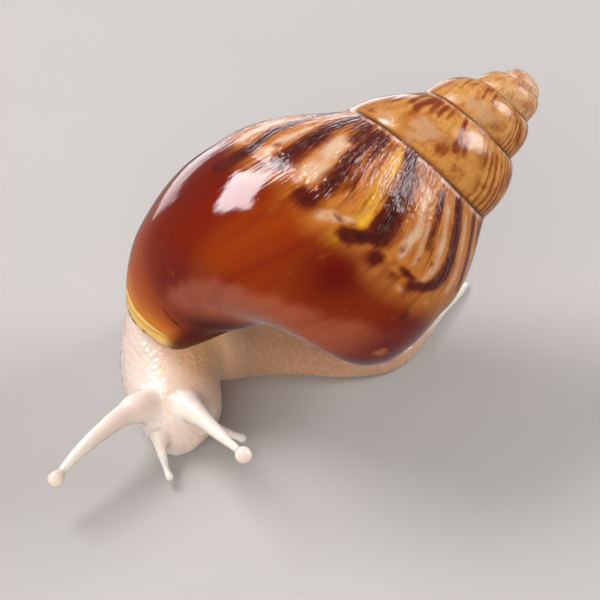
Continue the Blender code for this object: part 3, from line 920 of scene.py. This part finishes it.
def eye_finish():
    """Pale, wet eye bulb."""
    material, tree, shader = new_material("pale_eye_bulb")
    spot = node(tree, "ShaderNodeTexCoord").outputs["Object"]
    mottle = cloud(tree, spot, 900.0, 3.0, 0.55)
    base = mix(tree, mottle, EYE_PALE, EYE_ROSY)
    tree.links.new(base, shader.inputs["Base Color"])
    shader.inputs["Roughness"].default_value = 0.25
    set_fleshy(shader, 0.5, 0.001, (1.0, 0.45, 0.3))
    set_wet(shader, 0.08, 0.2)
    fine = cloud(tree, spot, 3000.0, 2.0, 0.6)
    set_relief(tree, shader, 0.25, 0.0001, fine, "Normal")
    return material


# ---- making of the flesh


def body_places():
    """Stations of the body with the steps between them."""
    return [step / STATION_STEPS for step in range((len(BODY) - 1) * STATION_STEPS + 1)]


def body_ring(place):
    """Ring of points round the body at one station, flat along the floor."""
    x, y, heading, left, right, height, widest, tuck = spline(BODY, place)
    facing = math.radians(heading)
    ahead = Vector((math.cos(facing), math.sin(facing), 0.0))
    side = Vector((-ahead.y, ahead.x, 0.0))
    under = math.acos(1 - tuck)
    points = []
    for number in range(RING_POINTS):
        angle = -under + (math.pi + 2 * under) * number / (RING_POINTS - 1)
        reach = (left if math.cos(angle) > 0 else right) * math.cos(angle)
        if angle < 0 or angle > math.pi:
            rise = widest * (1 + math.sin(angle) / math.sin(under))
        else:
            rise = widest + (height - widest) * math.sin(angle)
        points.append(Vector((x, y, 0.0)) + side * reach + Vector((0.0, 0.0, rise)))
    return points


def feeler_ring(rows, share):
    """Ring of points round a feeler, that share of the way along it."""
    place = share * (len(rows) - 1)
    x, y, z, radius = spline(rows, place)
    low, high = max(place - 0.05, 0.0), min(place + 0.05, len(rows) - 1)
    ahead = Vector(spline(rows, high)[:3]) - Vector(spline(rows, low)[:3])
    turn = ahead.to_track_quat("Z", "Y").to_matrix()
    ring = []
    for side in range(FEELER_SIDES):
        angle = 2 * math.pi * side / FEELER_SIDES
        ring.append(Vector((x, y, z)) + turn @ Vector((math.cos(angle), math.sin(angle), 0)) * radius)
    return ring


def feeler_rings(rows):
    return [feeler_ring(rows, step / FEELER_STEPS) for step in range(FEELER_STEPS + 1)]


def lay_tube(bm, rings):
    """Closed tube: a grid set on the rings, its long edges welded and its ends capped."""
    around = len(rings[0])
    made = new_grid(bm, len(rings) - 1, around)
    for vert, i, j in made:
        vert.co = rings[i][j % around]
    bmesh.ops.remove_doubles(bm, verts=[vert for vert, _, _ in made], dist=0.001)
    ends = [e for e in bm.edges if e.is_boundary]
    bmesh.ops.holes_fill(bm, edges=ends, sides=0)
    bmesh.ops.recalc_face_normals(bm, faces=bm.faces)


def mantle_rings():
    """Rings of the collar of flesh that fills the mouth of the shell."""
    places = [step / MANTLE_SIDE for step in range(MANTLE_SIDE + 1)]
    places += [1 + step / MANTLE_BASE for step in range(1, MANTLE_BASE + 1)]
    lip = section(0.0, places, with_relief=False)
    outline = inner_edge(lip) + section(-1.0, places, with_relief=False)[-2:MANTLE_SIDE:-1]
    middle = Vector((sum(p[0] for p in outline), sum(p[1] for p in outline))) / len(outline)
    inset = [Vector(point).lerp(middle, 1 - MANTLE_INSET) for point in outline]
    rings = []
    for share in (0.0, 0.5, 1.0):
        turn = -MANTLE_UP + (MANTLE_UP + MANTLE_DOWN) * share
        rings.append([shell_place() @ round_axis(point, turn) for point in inset])
    return rings


def evaluated(piece):
    """Mesh of the piece with its modifiers applied; the piece itself is removed."""
    ready = piece.evaluated_get(bpy.context.evaluated_depsgraph_get())
    mesh = bpy.data.meshes.new_from_object(ready)
    bpy.data.objects.remove(piece)
    return mesh


def shell_cutter():
    """Slightly smaller copy of the solid shell, to trim the flesh that would lie inside it."""
    bm = bmesh.new()
    bm.from_mesh(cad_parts["shell"].data)
    bmesh.ops.remove_doubles(bm, verts=bm.verts, dist=1e-6)
    bmesh.ops.transform(bm, matrix=Matrix.Scale(1 / MM, 4) @ Matrix.Translation(-SHIFT), verts=bm.verts)
    bm.normal_update()
    for vert in bm.verts:
        vert.co -= vert.normal * SHELL_BEDDING
    return as_object(bm, "shell_cutter")


def lengths(points):
    """How far along their line each of the points lies."""
    reached = [0.0]
    for before, here in zip(points, points[1:]):
        reached.append(reached[-1] + (here - before).length)
    return reached


def flow_samples():
    """Where each spot of the flesh lies along and round the body or its feeler."""
    spots = []
    rings = [body_ring(place) for place in body_places()]
    top = RING_POINTS // 2
    for place, ring, along in zip(body_places(), rings, lengths([ring[top] for ring in rings])):
        right = [-reach for reach in lengths(ring[top::-1])]
        for point, around in zip(ring, right[:0:-1] + lengths(ring[top:])):
            spots.append((point, along, around, place, 0))
    for kind, rows in enumerate(FEELERS, start=1):
        rings = feeler_rings(rows)
        middles = [sum(ring, Vector()) / len(ring) for ring in rings]
        for ring, along in zip(rings, lengths(middles)):
            girth = (ring[1] - ring[0]).length
            for side, point in enumerate(ring):
                spots.append((point, along, (side - FEELER_SIDES / 2) * girth, 0.0, kind))
    return spots


def smooth(bm, verts, rounds):
    for _ in range(rounds):
        bmesh.ops.smooth_vert(
            bm, verts=verts, factor=0.5, use_axis_x=True, use_axis_y=True, use_axis_z=True
        )


def trimmed_body():
    """The body's form, cut away where it would lie inside the shell."""
    bm = bmesh.new()
    lay_tube(bm, [body_ring(place) for place in body_places()])
    body = as_object(bm, "body_form")
    cutter = shell_cutter()
    trim = body.modifiers.new("trim", "BOOLEAN")
    trim.operation = "DIFFERENCE"
    trim.solver = "EXACT"
    trim.object = cutter
    trimmed = evaluated(body)
    bpy.data.objects.remove(cutter)
    return trimmed


def joined_flesh():
    """Body, mantle and feelers grown together into one closed surface."""
    tubes = [mantle_rings()]
    for rows in FEELERS:
        rings = feeler_rings(rows)
        if rows in (UPPER_RIGHT, UPPER_LEFT):
            onward = (Vector(rows[-1][:3]) - Vector(rows[-2][:3])).normalized() * FEELER_INTO_EYE
            rings.append([point + onward for point in rings[-1]])
        tubes.append(rings)
    whole = bmesh.new()
    whole.from_mesh(trimmed_body())
    tube = bpy.data.meshes.new("tube")
    for rings in tubes:
        bm = bmesh.new()
        lay_tube(bm, rings)
        bm.to_mesh(tube)
        bm.free()
        whole.from_mesh(tube)
    joined = as_object(whole, "skin_form")
    remesh = joined.modifiers.new("join", "REMESH")
    remesh.mode = "VOXEL"
    remesh.voxel_size = SKIN_VOXEL
    return evaluated(joined)


def flow_at(point, tree, spots):
    """Which part of the flesh a point is on, and how far along, how far round and at which station."""
    near = [(spots[number], 1 / (far + 0.05)) for _, number, far in tree.find_n(point, 3)]
    kind = near[0][0][4]
    near = [(spot, weight) for spot, weight in near if spot[4] == kind]
    total = sum(weight for _, weight in near)
    return kind, *(sum(weight * spot[part] for spot, weight in near) / total for part in (1, 2, 3))


def pebbling(kind, along, around, place):
    """Pattern of the tubercles and their height: long on the neck, small on the head and feelers."""
    if kind != 0:
        return Vector((along / 0.45, around / 0.45, 7.0 * kind)), 0.02
    neck = ease(place, 7.5, 9.0) * (1 - ease(place, 11.0, 13.5))
    head = ease(place, 11.5, 13.0)
    length = 1.0 + 0.5 * neck - 0.2 * head
    width = 1.0 - 0.1 * neck - 0.2 * head
    return Vector((along / length, around / width, 0.0)), 0.10 + 0.06 * neck + 0.04 * head


def flesh_tint(kind, around, place):
    """Painted light on the skin: a warm tint down the shaded left flank for light glowing through the flesh,
    painted shade behind where the shell shades the body, and a darker key-lit upper neck.
    """
    if kind != 0:
        return 0.05, 0.0
    flank = 0.55 * ease(place, 3.5, 6.0) * (1 - 0.5 * ease(place, 11.5, 13.5))
    flank += 0.38 * bell(place, 10.2, 1.8)
    # Painted light: the shaded left side is painted warm, as light glowing through the flesh would make it.
    warm = flank * ease(-around, -5.0, 4.0)
    # Painted shade: the body behind the neck, on the shaded side, lies in the shell's shadow. The key-lit
    # upper neck is darkened to tone down its light.
    behind = 0.85 * (1 - ease(place, 7.0, 9.2)) * ease(place, 1.5, 3.5) * ease(-around, 1.0, 9.0)
    upper = ease(place, 7.5, 9.0) * (1 - ease(place, 10.8, 12.2)) * ease(around, -4.0, 2.0)
    return warm, max(behind, 0.34 * upper)


def build_skin():
    """One skin for the whole of the flesh, with its tubercles."""
    bm = bmesh.new()
    bm.from_mesh(joined_flesh())
    smooth(bm, bm.verts, 3)
    for rows in FEELERS:
        root = Vector(rows[1][:3])
        smooth(bm, [vert for vert in bm.verts if (vert.co - root).length < 1.5 * rows[1][3]], 24)

    spots = flow_samples()
    tree = kdtree.KDTree(len(spots))
    for number, spot in enumerate(spots):
        tree.insert(spot[0], number)
    tree.balance()
    bm.normal_update()
    flow = bm.verts.layers.float_vector.new("flow")
    warm = bm.verts.layers.float.new("warm")
    painted_shade = bm.verts.layers.float.new("painted_shade")
    for vert in bm.verts:
        kind, along, around, place = flow_at(vert.co, tree, spots)
        pattern, height = pebbling(kind, along, around, place)
        vert[flow] = pattern
        vert[warm], vert[painted_shade] = flesh_tint(kind, around, place)
        distances = noise.voronoi(pattern)[0]
        groove = 1 - ease(distances[1] - distances[0], 0.0, 0.35)
        crown = max(0.0, 1 - distances[0] * 1.5)
        vert.co += vert.normal * (height * (0.6 * crown - 0.8 * groove) * ease(vert.co.z, 0.2, 1.2))
        vert.co.z = max(vert.co.z, 0.0)
    shade_smooth(bm)
    return finish_piece("skin", bm, skin_finish())


def build_eye(name, middle, rows):
    """Round bulb whose underside draws out into the end of its feeler."""
    bm = bmesh.new()
    bmesh.ops.create_icosphere(bm, subdivisions=5, radius=EYE_RADIUS * 0.99)
    stalk = (Vector(rows[-1][:3]) - Vector(middle)).normalized()
    for vert in bm.verts:
        share = max(0.0, (vert.co.normalized().dot(stalk) - 0.62) / 0.38)
        vert.co += stalk * 0.75 * share ** 1.6
    bmesh.ops.translate(bm, vec=Vector(middle), verts=bm.verts)
    shade_smooth(bm)
    return finish_piece(name, bm, eye_finish())


# ---- studio


def build_floor():
    material, tree, shader = new_material("pale_floor")
    spot = node(tree, "ShaderNodeTexCoord").outputs["Object"]
    base = mix(tree, cloud(tree, spot, 30.0), (0.49, 0.485, 0.475), (0.51, 0.505, 0.495))
    tree.links.new(base, shader.inputs["Base Color"])
    shader.inputs["Roughness"].default_value = 1.0
    shader.inputs["Specular IOR Level"].default_value = 0.0
    bm = bmesh.new()
    bmesh.ops.create_grid(bm, x_segments=8, y_segments=8, size=3.0)
    floor = as_object(bm, "studio_floor", material)
    floor.visible_glossy = False


def turn_round(thing, way):
    """Turn a lamp or camera to look against that way."""
    thing.rotation_mode = "QUATERNION"
    thing.rotation_quaternion = (-way).to_track_quat("-Z", "Y")


def softbox(name, towards, away, spread_wide, spread_tall, brightness, colour):
    """Rectangular light in that direction, filling that many degrees of the sky."""
    wide = 2 * away * math.tan(math.radians(spread_wide / 2))
    tall = 2 * away * math.tan(math.radians(spread_tall / 2))
    lamp = bpy.data.lights.new(name, "AREA")
    lamp.shape = "RECTANGLE"
    lamp.size, lamp.size_y = wide, tall
    lamp.energy = brightness * math.pi * wide * tall
    lamp.color = colour
    light = placed(name, lamp)
    facing = Vector(towards).normalized()
    light.location = facing * away
    turn_round(light, facing)
    light.visible_camera = False
    return light


def build_studio():
    """Two softboxes, three cards that only the gloss shows, and two warm fills kept out of the gloss."""
    build_floor()
    key, back = (-0.54, -0.41, 0.73), (0.0, 0.85, 0.50)
    softbox("key_softbox", key, 1.5, 31, 24, 9.8, (1.0, 0.95, 0.97))
    softbox("back_softbox", back, 1.5, 25, 25, 9.5, (1.0, 0.97, 0.98))
    for name, towards, away, wide, tall, brightness in (
        ("key_glint", key, 1.4, 31, 24, 21.0),
        ("back_glint", back, 1.4, 25, 25, 10.0),
        ("rim_card", (-0.985, 0.02, 0.172), 0.10, 60, 18, 2.6),
    ):
        glint = softbox(name, towards, away, wide, tall, brightness, (1.0, 0.95, 0.98))
        glint.visible_diffuse = False
    for name, towards, spread, brightness in (
        ("front_fill", (0.70, -0.62, 0.45), 60, 1.9),
        ("top_fill", (0.1, -0.1, 1.0), 60, 0.10),
    ):
        fill = softbox(name, towards, 1.5, spread, spread, brightness, (1.0, 0.93, 0.86))
        fill.visible_glossy = False
    world = bpy.data.worlds.new("studio")
    world.use_nodes = True
    world.node_tree.nodes["Background"].inputs["Color"].default_value = (1.0, 0.98, 0.96, 1.0)
    world.node_tree.nodes["Background"].inputs["Strength"].default_value = 0.30
    bpy.context.scene.world = world
    bpy.context.scene.view_settings.view_transform = "Standard"


def build_camera():
    """Camera a little under half a metre away, looking down at 45 degrees on the left side."""
    around, above, away = math.radians(70), math.radians(45), 0.450
    back = Vector((math.sin(around) * math.cos(above), -math.cos(around) * math.cos(above), math.sin(above)))
    lens = bpy.data.cameras.new("camera")
    lens.sensor_width = 36.0
    lens.lens = 152.8
    lens.clip_start = 0.01
    camera = placed("camera", lens)
    camera.location = SHIFT + back * away
    turn_round(camera, back)
    bpy.context.scene.camera = camera


shell = build_shell()
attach(shell, "root")
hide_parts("shell")

skin = build_skin()
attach(skin, "root")
skin.visible_glossy = False
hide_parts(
    "tail", "foot_back", "foot_middle", "foot_front", "neck", "head", "mantle_collar",
    "upper_feeler_right", "upper_feeler_left", "lower_feeler_right", "lower_feeler_left",
)

for side, middle, rows in (("right", EYE_RIGHT, UPPER_RIGHT), ("left", EYE_LEFT, UPPER_LEFT)):
    eye = build_eye("eye_bulb_" + side, middle, rows)
    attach(eye, "root")
    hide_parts("eye_" + side)

build_studio()
build_camera()
